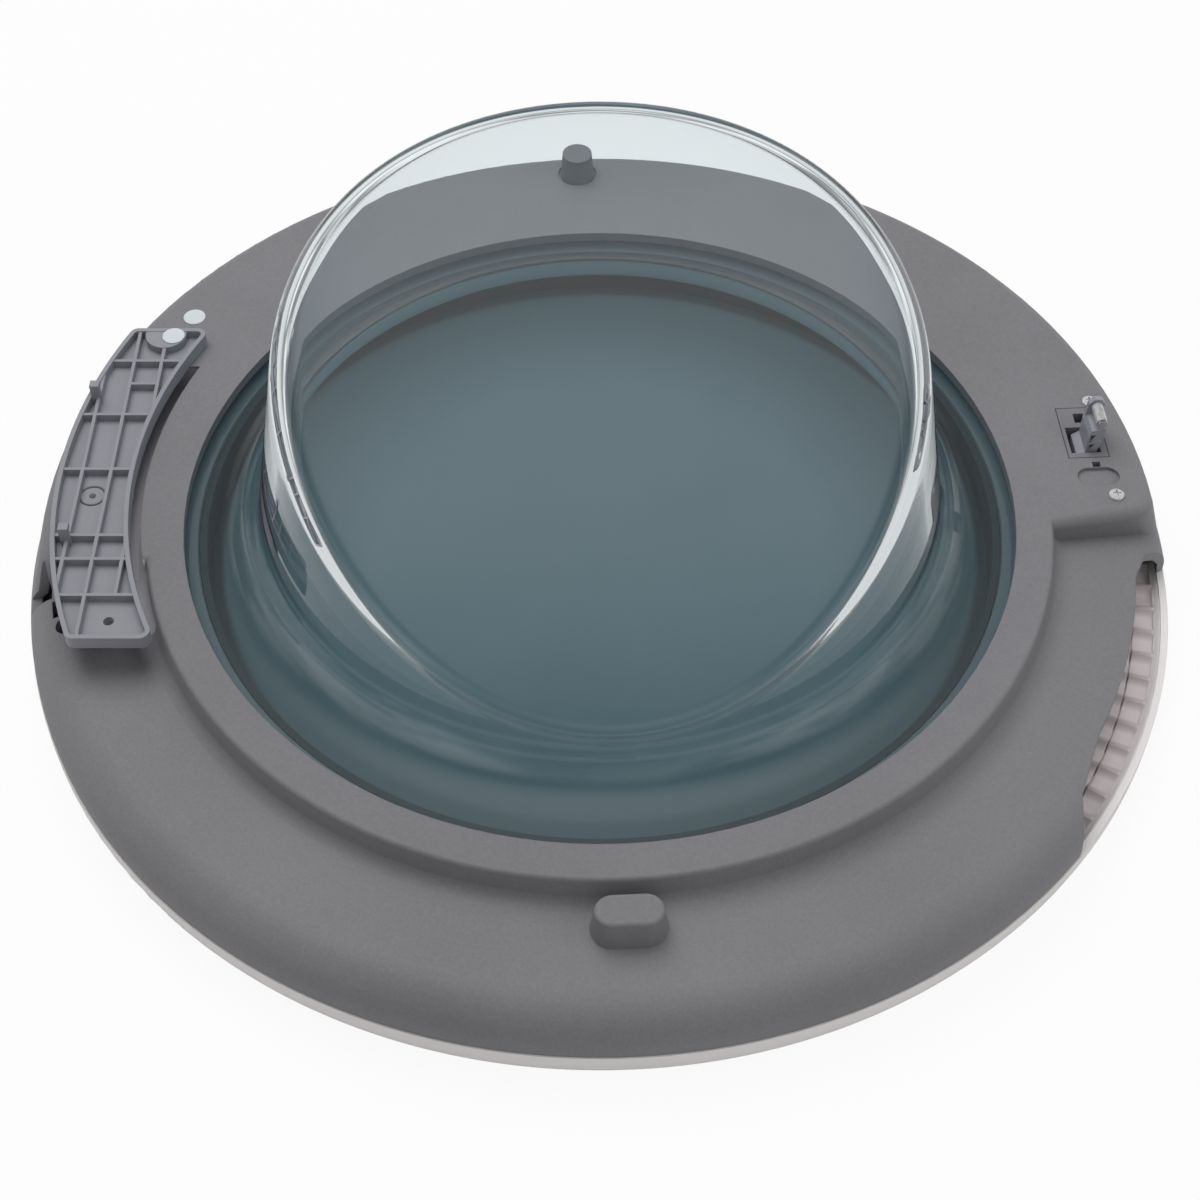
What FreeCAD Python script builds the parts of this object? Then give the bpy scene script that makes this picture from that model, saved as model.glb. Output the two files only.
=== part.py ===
import FreeCAD, Part
import Sketcher
import math
import os

# Round washing machine door, lying on its front face with the inner side up.
# Millimetres. +Z points out of the inner side, +X runs from the hinge to the latch,
# the origin is the ring's centre on the plane that the front face rests on.

V = FreeCAD.Vector
ALONG_Y = FreeCAD.Rotation(V(1, 0, 0), -90)

doc = FreeCAD.newDocument("washer_door")
sheet = doc.addObject("Spreadsheet::Sheet", "Sizes")

SIZES = {
    # whole door
    "ring_radius": 240,
    "ring_edge_height": 16,
    "wall": 3,
    "seat_gap": 0.1,
    "frame_top": 50,
    # front ring and window
    "front_round": 10,
    "land_outset": 20,
    "border_width": 76,
    "window_seat": 18,
    "window_thick": 3,
    "shelf_height": 38.5,
    "shelf_outset": 18,
    "grip_angle": -24.5,
    "grip_span": 41,
    "grip_height": 13.5,
    "seam_inset": 14,
    "grip_inset": 36,
    "flute_radius": 7.5,
    "flute_depth": 2.6,
    "flute_pitch": 3.13,
    # glass
    "gasket_thick": 0.8,
    "flange_outset": 20,
    "flange_thick": 6,
    "glass_thick": 6,
    "bowl_inset": 21.5,
    "bowl_draft": 10,
    "bowl_foot_round": 22,
    "face_radius": 429.6,
    "face_top": 165.5,
    "face_round": 14,
    # inner frame
    "frame_inset": 0.5,
    "opening_outset": 8,
    "band_outset": 23,
    "dish_outset": 26,
    "dish_height": 38,
    "dish_fall": 3.5,
    "dish_round": 17,
    "platform_inset": 10,
    "platform_round": 5,
    "platform_corner": 9,
    "platform_end_y": -24,
    "platform_end_slope": 0.13,
    "grip_cut_inset": 17,
    "stud_outset": 35.5,
    "stud_length": 25,
    "stud_width": 13,
    "buffer_inset": 23,
    "buffer_radius": 8.2,
    "buffer_height": 13,
    # latch
    "latch_y": 22.5,
    "pivot_inset": 31.6,
    "pivot_height": 38,
    "pin_radius": 2,
    "fit_gap": 0.05,
    "hook_thick": 13,
    "hook_width": 8.2,
    "hook_rise": 12,
    "roller_inset": 28.4,
    "roller_height": 66,
    "roller_radius": 2.4,
    "roller_length": 10.2,
    "roller_pin_radius": 1.5,
    "wire_radius": 0.45,
    "screw_inset": 25,
    "screw_spacing": 55.5,
    "screw_middle_y": 17.2,
    "screw_head_radius": 3.1,
    "screw_radius": 1.6,
    # hinge side
    "recess_inset": 19,
    "recess_end_y": 88,
    "hinge_inset": 32,
    "hinge_hole_spacing": 44,
    "hinge_middle_y": 20,
    "hinge_hole_radius": 2.5,
    "side_screw_angle": 191.9,
    "side_screw_inset": 17,
    "cover_width": 31.5,
    "cover_inset": 14,
    "cover_low_y": -88.5,
    "cover_high_y": 89.5,
    "cover_height": 6,
    "cover_skin": 2,
    "rib_thick": 1.5,
    "rib_pitch": 12,
    "cover_turn": -3,
    "cover_shift": 7.5,
}

for row, (alias, value) in enumerate(SIZES.items(), start=1):
    sheet.set("A%d" % row, alias)
    sheet.set("B%d" % row, str(value))
    sheet.setAlias("B%d" % row, alias)
doc.recompute()


class Size:
    """A size with its value and the sheet expression that gives it."""

    def __init__(self, text, value):
        self.text = text
        self.value = float(value)

    def joined(self, sign, other, value):
        return Size("(%s %s %s)" % (self.text, sign, other.text), value)

    def __add__(self, other):
        other = as_size(other)
        return self.joined("+", other, self.value + other.value)

    def __sub__(self, other):
        other = as_size(other)
        return self.joined("-", other, self.value - other.value)

    def __mul__(self, other):
        other = as_size(other)
        return self.joined("*", other, self.value * other.value)

    def __neg__(self):
        return Size("(0 - %s)" % self.text, -self.value)


def as_size(number):
    if isinstance(number, Size):
        return number
    return Size("(%.6f)" % number, number)


def size(alias):
    return Size("Sizes.%s" % alias, sheet.get(alias))


def from_ring(name):
    """Radius of a feature that keeps its distance to the ring's outer edge."""
    return size("ring_radius") - size(name + "_inset")


def from_window(name):
    """Radius of a feature that keeps its distance to the window's edge."""
    return size("ring_radius") - size("border_width") + size(name + "_outset")


def bind(obj, **sizes):
    for prop, value in sizes.items():
        obj.setExpression(prop, as_size(value).text)


def place(obj, x=0, y=0, z=0, rotation=None):
    """Puts an object at sizes x, y, z, turned by a rotation."""
    if rotation is not None:
        obj.Placement = FreeCAD.Placement(V(), rotation)
    for axis, value in (("x", x), ("y", y), ("z", z)):
        obj.setExpression("Placement.Base.%s" % axis, as_size(value).text)
    return obj


def box(name, x, y, z, low):
    """A box of three sizes with its low corner at three sizes."""
    obj = doc.addObject("Part::Box", name)
    bind(obj, Length=x, Width=y, Height=z)
    return place(obj, *low)


def cylinder(name, radius, height, x=0, y=0, z=0, rotation=None):
    obj = doc.addObject("Part::Cylinder", name)
    bind(obj, Radius=radius, Height=height)
    return place(obj, x, y, z, rotation)


def cone(name, low_radius, high_radius, height, x=0, y=0, z=0):
    obj = doc.addObject("Part::Cone", name)
    bind(obj, Radius1=low_radius, Radius2=high_radius, Height=height)
    return place(obj, x, y, z)


def fuse(name, shapes):
    obj = doc.addObject("Part::MultiFuse", name)
    obj.Shapes = shapes
    obj.Refine = True
    return obj


def common(name, shapes):
    obj = doc.addObject("Part::MultiCommon", name)
    obj.Shapes = shapes
    return obj


def cut(name, base, tools):
    obj = doc.addObject("Part::Cut", name)
    obj.Base = base
    obj.Tool = tools[0] if len(tools) == 1 else fuse(name + "_tools", tools)
    return obj


def sketch_on(body, name, plane, turn=0):
    sketch = body.newObject("Sketcher::SketchObject", name)
    planes = {feature.Role: feature for feature in body.Origin.OriginFeatures}
    sketch.AttachmentSupport = [(planes[plane], "")]
    sketch.MapMode = "FlatFace"
    if turn:
        sketch.AttachmentOffset = FreeCAD.Placement(V(), FreeCAD.Rotation(V(0, 1, 0), turn))
    return sketch


def pin_point(sketch, line, end, axis, value):
    """Holds one coordinate of a line's end at a size."""
    if abs(value.value) < 1e-9:
        on_axis = {"DistanceX": -2, "DistanceY": -1}[axis]
        sketch.addConstraint(Sketcher.Constraint("PointOnObject", line, end, on_axis))
        return
    number = sketch.addConstraint(Sketcher.Constraint(axis, -1, 1, line, end, value.value))
    sketch.setExpression("Constraints[%d]" % number, value.text)


def polygon(sketch, points):
    """Closed outline through points that are pairs of sizes."""
    points = [(as_size(x), as_size(y)) for x, y in points]
    count = len(points)
    corners = [V(x.value, y.value, 0) for x, y in points]
    for i in range(count):
        sketch.addGeometry(Part.LineSegment(corners[i], corners[(i + 1) % count]), False)
    for i in range(count):
        sketch.addConstraint(Sketcher.Constraint("Coincident", i, 2, (i + 1) % count, 1))
    for i, (x, y) in enumerate(points):
        pin_point(sketch, i, 1, "DistanceX", x)
        pin_point(sketch, i, 1, "DistanceY", y)
    return sketch


def revolve(body, name, points, kind="Revolution", plane="XZ_Plane", turn=0, span=None):
    """Turns an outline round Z, all the way or over a span centred on its plane."""
    sketch = polygon(sketch_on(body, name + "_outline", plane, turn), points)
    feature = body.newObject("PartDesign::" + kind, name)
    feature.Profile = sketch
    feature.ReferenceAxis = (sketch, ["V_Axis"])
    if span is None:
        feature.Angle = 360
    else:
        feature.Midplane = True
        bind(feature, Angle=span)
    doc.recompute()
    return feature


def extrude(body, name, points, kind, length, plane="XY_Plane", both=True):
    """Pads or pockets an outline, to both sides of its plane."""
    sketch = polygon(sketch_on(body, name + "_outline", plane), points)
    feature = body.newObject("PartDesign::" + kind, name)
    feature.Profile = sketch
    if both:
        feature.SideType = "Symmetric"
    bind(feature, Length=length)
    doc.recompute()
    return feature


def circle_edges(shape, rings):
    """Names of the edges that are circles round Z of these radii and heights."""
    names = []
    for number, edge in enumerate(shape.Edges, start=1):
        if not isinstance(edge.Curve, Part.Circle):
            continue
        centre = edge.Curve.Center
        for radius, height in rings:
            near = abs(edge.Curve.Radius - radius.value) < 0.01
            level = abs(centre.z - height.value) < 0.01 and math.hypot(centre.x, centre.y) < 0.01
            if near and level:
                names.append("Edge%d" % number)
    return names


def round_edges(body, name, base, names, radius):
    feature = body.newObject("PartDesign::Fillet", name)
    feature.Base = (base, names)
    bind(feature, Radius=radius)
    doc.recompute()
    return feature


def new_body(name):
    return doc.addObject("PartDesign::Body", name)


def polar(distance, degrees):
    """Point at a distance size and an angle, as a pair of sizes."""
    angle = math.radians(degrees)
    return distance * math.cos(angle), distance * math.sin(angle)


wall = size("wall")
seat = size("seat_gap")
top = size("frame_top")
ring_radius = size("ring_radius")
window_radius = ring_radius - size("border_width")
bowl_foot_radius = window_radius - size("bowl_inset")
frame_radius = from_ring("frame")
shelf = size("shelf_height")
glass_floor = shelf + size("gasket_thick") + seat
flange_top = glass_floor + size("flange_thick")
frame_base = size("ring_edge_height") + seat
dish_edge = size("dish_height") - size("dish_fall")
skin = wall - 0.2
hinge_floor = size("dish_height")


def make_front_ring():
    """White ring: open channel, window ledge, glass shelf and the fluted finger grip."""
    edge = size("ring_edge_height")
    window = window_radius
    ledge = size("window_seat")
    land = from_window("land")
    inner = ring_radius - wall
    body = new_body("front_ring_body")
    channel = revolve(body, "channel", [
        (ring_radius, edge), (ring_radius, 0), (land, 0), (window, ledge - wall),
        (window, ledge), (window + wall, ledge), (window + wall, shelf),
        (from_window("shelf"), shelf), (from_window("shelf"), shelf - wall),
        (window + wall * 2, shelf - wall), (window + wall * 2, ledge),
        (land + 1.5, wall), (inner, wall), (inner, edge)])
    names = circle_edges(channel.Shape, [(ring_radius, as_size(0))])
    rounded = round_edges(body, "front_corner", channel, names, size("front_round"))
    names = circle_edges(rounded.Shape, [(inner, wall)])
    round_edges(body, "inside_corner", rounded, names, size("front_round") - wall)

    tray = size("grip_height")
    start = from_ring("grip")
    lip = ring_radius - 5
    revolve(body, "grip_tray", [
        (start, wall - 1), (start, tray), (lip, tray), (lip + 1.5, tray + 1.5),
        (inner + 1.5, tray + 1.5), (inner + 1.5, tray - 4), (lip, tray - 6),
        (start + wall, tray - 6), (start + wall, wall - 1)],
        turn=sheet.get("grip_angle"), span=size("grip_span"))

    flutes = []
    pitch = sheet.get("flute_pitch")
    count = int(sheet.get("grip_span") / pitch)
    for i in range(count):
        angle = sheet.get("grip_angle") + pitch * (i - (count - 1) / 2)
        outward = V(math.cos(math.radians(angle)), math.sin(math.radians(angle)), 0)
        level = tray + size("flute_radius") - size("flute_depth")
        x, y = polar(start - 0.5, angle)
        flutes.append(cylinder("flute_%d" % i, size("flute_radius"), lip - start, x, y, level,
                               FreeCAD.Rotation(V(0, 0, 1), outward)))
    x, y = polar(from_ring("side_screw"), sheet.get("side_screw_angle"))
    post = cylinder("screw_post", as_size(4.5), as_size(23.5), x, y, wall - 1)
    pilot = cylinder("screw_pilot", size("screw_radius"), as_size(16), x, y, 12)
    seam_low = tray - size("flute_depth") - 0.5
    seam_wide = cylinder("seam_wide", from_ring("seam") + 0.3, as_size(20), 0, 0, seam_low)
    seam_core = cylinder("seam_core", from_ring("seam") - 0.3, as_size(30), 0, 0, seam_low - 5)
    seam = cut("grip_seam", seam_wide, [seam_core])
    grip = cut("seamed_ring", cut("fluted_ring", body, flutes), [seam])
    return cut("front_ring", fuse("posted_ring", [grip, post]), [pilot])


def make_front_window():
    """Smoked pane with a skirt that lines the ring up to the glass."""
    body = new_body("front_window")
    rim = window_radius + wall - 0.3
    low = size("window_seat") + seat
    revolve(body, "pane", [
        (0, low), (rim, low), (rim, shelf), (rim - wall, shelf),
        (rim - wall, low + size("window_thick")), (0, low + size("window_thick"))])
    return body


def make_gasket():
    """Thin flat ring between the shelf and the glass flange."""
    body = new_body("glass_gasket")
    inner = window_radius + wall + 0.5
    revolve(body, "washer", [
        (inner, shelf), (from_window("flange") - 2, shelf),
        (from_window("flange") - 2, shelf + size("gasket_thick")),
        (inner, shelf + size("gasket_thick"))])
    return body


def bowl_plug(name, shrink, floor):
    """Draft cone cut off along the slanted, gently arched face, with its rim rounded."""
    slope = math.tan(math.radians(sheet.get("bowl_draft")))
    foot_radius = bowl_foot_radius - shrink * (1 / math.cos(math.atan(slope)))
    tall = as_size(160)
    body = new_body(name + "_cone")
    revolve(body, name + "_turned", [
        (0, floor), (foot_radius + (flange_top - floor) * slope, floor),
        (foot_radius - tall * slope, flange_top + tall), (0, flange_top + tall)])
    curve = size("face_radius") - shrink
    middle = bowl_foot_radius - 10
    level = size("face_top") - size("face_radius")
    face = cylinder(name + "_face", curve, bowl_foot_radius * 4, bowl_foot_radius * -2, middle, level,
                    FreeCAD.Rotation(V(0, 0, 1), V(1, 0, 0)))
    block = common(name + "_block", [body, face])
    doc.recompute()
    radius = sheet.get("face_round") - shrink.value
    rim = []
    for number, edge in enumerate(block.Shape.Edges, start=1):
        reach = [math.hypot(point.y - middle.value, point.z - level.value) for point in edge.discretize(5)]
        if all(abs(value - curve.value) < 0.01 for value in reach):
            rim.append((number, radius, radius))
    rounded = doc.addObject("Part::Fillet", name)
    rounded.Base = block
    rounded.Edges = rim
    return rounded


def round_foot(name, base, level, radius):
    """Rounds the circle where the bowl meets its flange at the given height."""
    doc.recompute()
    numbers = []
    for number, edge in enumerate(base.Shape.Edges, start=1):
        limits = edge.BoundBox
        flat = abs(limits.ZMax - level.value) < 0.01 and abs(limits.ZMin - level.value) < 0.01
        if flat and limits.XMax < from_window("flange").value - 5:
            numbers.append((number, radius, radius))
    rounded = doc.addObject("Part::Fillet", name)
    rounded.Base = base
    rounded.Edges = numbers
    return rounded


def make_glass_bowl():
    """Pressed glass: flange, flared foot, draft wall and arched slanted face of even thickness."""
    flange = new_body("bowl_flange")
    edge = from_window("flange")
    revolve(flange, "flange_disc", [
        (0, glass_floor), (edge, glass_floor), (edge, flange_top), (0, flange_top)])
    blank = fuse("bowl_blank", [bowl_plug("bowl_outside", as_size(0), glass_floor), flange])
    radius = sheet.get("bowl_foot_round")
    outside = round_foot("bowl_flared", blank, flange_top, radius)
    inside = bowl_plug("bowl_inside", size("glass_thick"), glass_floor - 2)
    hollow = cut("bowl_hollow", outside, [inside])
    return round_foot("glass_bowl", hollow, glass_floor, radius + sheet.get("glass_thick"))


def arc_points(centre_r, centre_z, radius, count):
    """Points of a quarter circle from straight up to straight out, as pairs of sizes."""
    points = []
    for i in range(count + 1):
        angle = math.radians(90 - 90 * i / count)
        points.append((centre_r + radius * math.cos(angle), centre_z + radius * math.sin(angle)))
    return points


def make_dish():
    """Frame without its platform: raised band, step and dish with a rounded outer edge."""
    band = from_window("band")
    dish_in = from_window("dish")
    dish = size("dish_height")
    body = new_body("dish_body")
    solid = revolve(body, "dish", [
        (from_window("opening"), frame_base), (from_window("opening"), top), (band, top),
        (dish_in, dish), (frame_radius, dish_edge), (frame_radius, frame_base)])
    names = circle_edges(solid.Shape, [(frame_radius, dish_edge)])
    solid = round_edges(body, "dish_edge", solid, names, size("dish_round"))
    names = circle_edges(solid.Shape, [(dish_in, dish)])
    solid = round_edges(body, "step_root", solid, names, as_size(5))
    names = circle_edges(solid.Shape, [(band, top)])
    round_edges(body, "band_edge", solid, names, as_size(2))
    return body


def make_dish_hollow():
    """Space under the band and dish, leaving the skin and the lip that holds the glass."""
    lip = from_window("opening") + 3.5
    centre_r = frame_radius - size("dish_round")
    centre_z = dish_edge - size("dish_round")
    body = new_body("dish_hollow_body")
    revolve(body, "dish_hollow", [
        (lip - 8.5, frame_base - 5), (lip - 8.5, flange_top + seat), (lip, flange_top + seat),
        (lip, top - skin), (from_window("band") - 2.5, top - skin),
        (from_window("dish") - 2, size("dish_height") - skin)]
        + arc_points(centre_r, centre_z, size("dish_round") - skin, 4)
        + [(frame_radius - skin, frame_base - 5)])
    return body


def corner_edges(shape, low, high):
    """Names of the upright edges where the platform's ends meet its leaning outer wall."""
    names = []
    for number, edge in enumerate(shape.Edges, start=1):
        limits = edge.BoundBox
        ends = [math.hypot(point.X, point.Y) for point in edge.Vertexes]
        upright = limits.ZLength > 8 and len(ends) == 2
        if upright and min(ends) > low.value and max(ends) < high.value + 0.1 and limits.YMax < 0:
            names.append("Edge%d" % number)
    return names


def platform_solid(name, inset, floor):
    """Raised far half of the frame with a leaning outer wall, drawn in by an inset."""
    inner = from_window("band") - 5
    outer = from_ring("platform") - inset
    height = top - inset
    body = new_body(name)
    revolve(body, name + "_ring", [
        (inner - inset, floor), (inner - inset, height), (outer, height),
        (frame_radius - inset, frame_base + 4), (frame_radius - inset, floor)],
        plane="YZ_Plane", span=as_size(210))
    end = size("platform_end_y") + inset
    slope = size("platform_end_slope")
    middle = from_window("dish")
    extrude(body, name + "_right_end", [
        (150, end - (middle - 150) * slope), (260, end - (middle - 260) * slope),
        (260, -200), (150, -200)], "Pocket", as_size(400))
    solid = extrude(body, name + "_left_end", [
        (-150, end - 2), (-150, -200), (-260, -200), (-260, end - 2)], "Pocket", as_size(400))
    names = corner_edges(solid.Shape, outer - 4, frame_radius)
    solid = round_edges(body, name + "_corner", solid, names, size("platform_corner") - inset)
    names = []
    for number, edge in enumerate(solid.Shape.Edges, start=1):
        limits = edge.BoundBox
        level = limits.ZMin > height.value - 0.01
        inside = all(math.hypot(point.X, point.Y) < inner.value + 0.5 for point in edge.Vertexes)
        if level and not inside:
            names.append("Edge%d" % number)
    round_edges(body, name + "_shoulder", solid, names, size("platform_round") - inset)
    return body


def recess_block(name, inset):
    """Room for the hinge in the platform, grown by an inset: beside the cover's edge to the outer rim."""
    floor = size("dish_height") - inset
    tall = as_size(60)
    drum = cylinder(name + "_drum", from_ring("recess") + inset, tall, 0, 0, floor)
    core_radius = from_ring("cover") - size("cover_width") - 4 - inset
    core = cylinder(name + "_core", core_radius, tall + 10, 0.4, size("cover_shift"), floor - 5)
    clip = box(name + "_clip", as_size(160), size("recess_end_y") + inset + 120, tall, (-260, -120, floor))
    return cut(name, common(name + "_sector", [drum, clip]), [core])


def make_frame_shell():
    """Skin of the inner frame: dish and platform with the space under them taken out."""
    platform = cut("platform", platform_solid("platform_body", as_size(0), frame_base),
                   [recess_block("hinge_recess", as_size(0))])
    solid = fuse("frame_block", [make_dish(), platform])
    hollow = cut("platform_hollow", platform_solid("platform_hollow_body", skin, frame_base - 5),
                 [recess_block("hinge_recess_skin", skin)])
    return cut("frame_shell", solid, [make_dish_hollow(), hollow])


def grip_cut_tool():
    """Prism that cuts the frame's edge away over the finger grip."""
    body = new_body("grip_cut")
    radius = from_ring("grip_cut")
    sketch = sketch_on(body, "grip_cut_outline", "XY_Plane")
    first, last = math.radians(-33), math.radians(-11)
    arc = Part.ArcOfCircle(Part.Circle(V(), V(0, 0, 1), radius.value), first, last)
    sketch.addGeometry(arc, False)
    sketch.addConstraint(Sketcher.Constraint("Coincident", 0, 3, -1, 1))
    number = sketch.addConstraint(Sketcher.Constraint("Radius", 0, radius.value))
    sketch.setExpression("Constraints[%d]" % number, radius.text)
    low = polar(radius, -33)
    high = polar(radius, -11)
    way = [high, polar(radius + 4.5, -7.8), polar(ring_radius + 6, -4.5), polar(ring_radius + 30, -25),
           polar(ring_radius + 6, -45), polar(radius + 7, -40.5), low]
    points = [V(x.value, y.value, 0) for x, y in way]
    for i in range(len(points) - 1):
        sketch.addGeometry(Part.LineSegment(points[i], points[i + 1]), False)
    sketch.addConstraint(Sketcher.Constraint("Coincident", 0, 2, 1, 1))
    for i in range(1, len(points) - 1):
        sketch.addConstraint(Sketcher.Constraint("Coincident", i, 2, i + 1, 1))
        pin_point(sketch, i, 2, "DistanceX", way[i][0])
        pin_point(sketch, i, 2, "DistanceY", way[i][1])
    sketch.addConstraint(Sketcher.Constraint("Coincident", len(points) - 1, 2, 0, 1))
    pin_point(sketch, 0, 1, "DistanceY", low[1])
    pin_point(sketch, 0, 2, "DistanceY", high[1])
    pad = body.newObject("PartDesign::Pad", "grip_cut_pad")
    pad.Profile = sketch
    bind(pad, Length=top + 20)
    doc.recompute()
    return body


def stadium(name, x, y, z, length, width, height):
    """Flat-sided oval prism, its long way along X, centred at x, y."""
    half = width * 0.5
    reach = (length - width) * 0.5
    middle = box(name + "_middle", length - width, width, height, (x - reach, y - half, z))
    ends = [cylinder("%s_end_%d" % (name, side), half, height, x + reach * side, y, z)
            for side in (-1, 1)]
    return fuse(name, [middle] + ends)


def make_stud():
    """Oval stud that widens towards the dish, with a rounded top edge."""
    length, width = size("stud_length"), size("stud_width")
    body = new_body("oval_stud")
    sketch = sketch_on(body, "stud_outline", "XY_Plane")
    sketch.setExpression("AttachmentOffset.Base.z", top.text)
    half = width * 0.5
    reach = (length - width) * 0.5
    y = -from_window("stud")
    for number, side in enumerate((1, -1)):
        centre = V(reach.value * side, y.value, 0)
        circle = Part.Circle(centre, V(0, 0, 1), half.value)
        start = -math.pi / 2 if side > 0 else math.pi / 2
        sketch.addGeometry(Part.ArcOfCircle(circle, start, start + math.pi), False)
        pin_point(sketch, number, 3, "DistanceX", reach * side)
        pin_point(sketch, number, 3, "DistanceY", y)
        radius = sketch.addConstraint(Sketcher.Constraint("Radius", number, half.value))
        sketch.setExpression("Constraints[%d]" % radius, half.text)
    for number, level in ((2, half.value), (3, -half.value)):
        ends = [V(reach.value * side, y.value + level, 0) for side in (1, -1)]
        sketch.addGeometry(Part.LineSegment(*ends), False)
    for line, end, arc, arc_end in ((2, 1, 0, 2), (2, 2, 1, 1), (3, 1, 0, 1), (3, 2, 1, 2)):
        sketch.addConstraint(Sketcher.Constraint("Tangent", line, end, arc, arc_end))
    pad = body.newObject("PartDesign::Pad", "stud_pad")
    pad.Profile = sketch
    pad.Reversed = True
    pad.TaperAngle = 8
    bind(pad, Length=top - size("dish_height") + 5)
    doc.recompute()
    names = []
    for number, edge in enumerate(pad.Shape.Edges, start=1):
        if edge.BoundBox.ZMin > top.value - 0.01:
            names.append("Edge%d" % number)
    round_edges(body, "stud_top", pad, names, as_size(1.6))
    return body


def screw_points():
    half = size("screw_spacing") * 0.5
    return [(from_ring("screw"), size("screw_middle_y") + half * side) for side in (-1, 1)]


def hinge_points(spread=1.0):
    half = size("hinge_hole_spacing") * 0.5 * spread
    return [(from_ring("hinge") * -1, size("hinge_middle_y") + half * side) for side in (-1, 1)]


# Plate of the latch housing that shows in the frame's opening: low corner and sizes.
latch_low_x = from_ring("pivot") - 8.6
latch_low_y = size("latch_y") - 10.3
latch_wide = as_size(17)
latch_long = as_size(29.5)


def make_inner_frame():
    """Grey frame: shell with the oval stud, screw cup, latch openings and hinge notch."""
    shell = make_frame_shell()
    deep = as_size(40)
    stud = make_stud()
    x, y = polar(from_ring("side_screw"), sheet.get("side_screw_angle"))
    cup_floor = wall + 23.6
    cup = cylinder("screw_cup", as_size(6), as_size(8.5), x, y, cup_floor - 1)
    solid = fuse("frame_solid", [shell, stud, cup])

    tools = [grip_cut_tool()]
    tools.append(cylinder("cup_bore", as_size(4.4), deep, x, y, cup_floor + 1.6))
    tools.append(cylinder("cup_hole", size("screw_radius") + 0.3, deep, x, y, cup_floor - 5))
    tools.append(box("latch_opening", latch_wide + 0.6, latch_long + 0.6, deep,
                     (latch_low_x - 0.3, latch_low_y - 0.3, top - 10)))
    tools.append(box("feeler_hole", as_size(3.4), as_size(3), deep,
                     (from_ring("pivot") + 0.4, latch_low_y - 5.8, top - 10)))
    tools.append(stadium("latch_recess", from_ring("pivot") + 1.6, size("latch_y") - 21.5,
                         top - 1.6, as_size(17.6), as_size(10), deep))
    for i, (screw_x, screw_y) in enumerate(screw_points()):
        tools.append(cylinder("latch_screw_hole_%d" % i, size("screw_radius") + 0.3, deep,
                              screw_x, screw_y, top - 10))
    for i, (hole_x, hole_y) in enumerate(hinge_points()):
        tools.append(cylinder("hinge_hole_%d" % i, size("hinge_hole_radius") + 0.5, deep,
                              hole_x, hole_y, hinge_floor - 10))
    for i, (hole_x, hole_y) in enumerate(hinge_points(1.6)):
        tools.append(cylinder("plate_hole_%d" % i, size("screw_radius") + 0.2, deep,
                              hole_x, hole_y, hinge_floor - 10))
        tools.append(cone("plate_sink_%d" % i, size("screw_radius") + 0.2,
                          size("screw_radius") * 2 + 0.2, size("screw_radius"),
                          hole_x, hole_y, hinge_floor - size("screw_radius")))
    buffer_y = from_ring("buffer")
    tools.append(cylinder("buffer_seat", size("buffer_radius") + 1.2, deep, 0, buffer_y, top - 1.4))
    tools.append(cylinder("buffer_hole", size("buffer_radius") - 2.7, deep, 0, buffer_y, top - 10))
    notch = box("hinge_notch", as_size(24), as_size(8.5), as_size(34), (0, 0, 0))
    x, y = polar(ring_radius - 12, 185.6)
    place(notch, x, y, top - 24, FreeCAD.Rotation(V(0, 0, 1), 186))
    pocket = box("hinge_pocket", as_size(7), as_size(9), deep, (0, 0, 0))
    x, y = polar(ring_radius - 19, 188.2)
    place(pocket, x, y, size("dish_height") - 20, FreeCAD.Rotation(V(0, 0, 1), 189))
    tools.extend([notch, pocket])
    return cut("inner_frame", solid, tools)


def make_round_buffer():
    """Soft plug with a neck through the frame and a barb below it."""
    y = from_ring("buffer")
    radius = size("buffer_radius")
    under = top - wall + 0.2
    low = top - 1.4 + seat
    knob = cone("buffer_knob", radius, radius - 1, size("buffer_height"), 0, y, low)
    neck = cylinder("buffer_neck", radius - 3, as_size(5), 0, y, low - 3)
    barb = cone("buffer_barb", radius - 4.5, radius - 2, as_size(3.4), 0, y, under - 3.6)
    return fuse("round_buffer", [knob, neck, barb])


def make_latch_housing():
    """Insert plate flush with the platform, screw flange below it and ears for the pivot."""
    under = top - wall + 0.2 - seat
    flange_thick = as_size(2.5)
    low_y = size("screw_middle_y") - size("screw_spacing") * 0.5 - 5
    plate = box("latch_plate", latch_wide, latch_long, top - under + 1,
                (latch_low_x, latch_low_y, under - 1))
    flange = box("latch_flange", as_size(20), size("screw_spacing") + 10, flange_thick,
                 (latch_low_x - 2, low_y, under - flange_thick))
    ear_low = size("pivot_height") - 6
    ears = [box("latch_ear_%d" % i, as_size(13), as_size(2.6), under - ear_low,
                (from_ring("pivot") - 6.5, y, ear_low))
            for i, y in enumerate((size("latch_y") - 10.2, size("latch_y") + 7.6))]
    solid = fuse("latch_housing_solid", [plate, flange] + ears)
    slot = box("latch_slot", as_size(12.6), as_size(15.2), as_size(30),
               (from_ring("pivot") - 7, size("latch_y") - 7.6, under - 12))
    window = box("latch_window", as_size(4.5), as_size(5.5), as_size(30),
                 (from_ring("pivot") - 2, size("latch_y") + 10.4, under - 12))
    bore = cylinder("latch_ear_bore", size("pin_radius") + 0.02, as_size(40),
                    from_ring("pivot"), size("latch_y") - 20, size("pivot_height"), ALONG_Y)
    tools = [slot, window, bore]
    for i, (x, y) in enumerate(screw_points()):
        tools.append(cylinder("latch_pilot_%d" % i, size("screw_radius") + 0.02, as_size(30),
                              x, y, under - 20))
    return cut("latch_housing", solid, tools)


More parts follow.
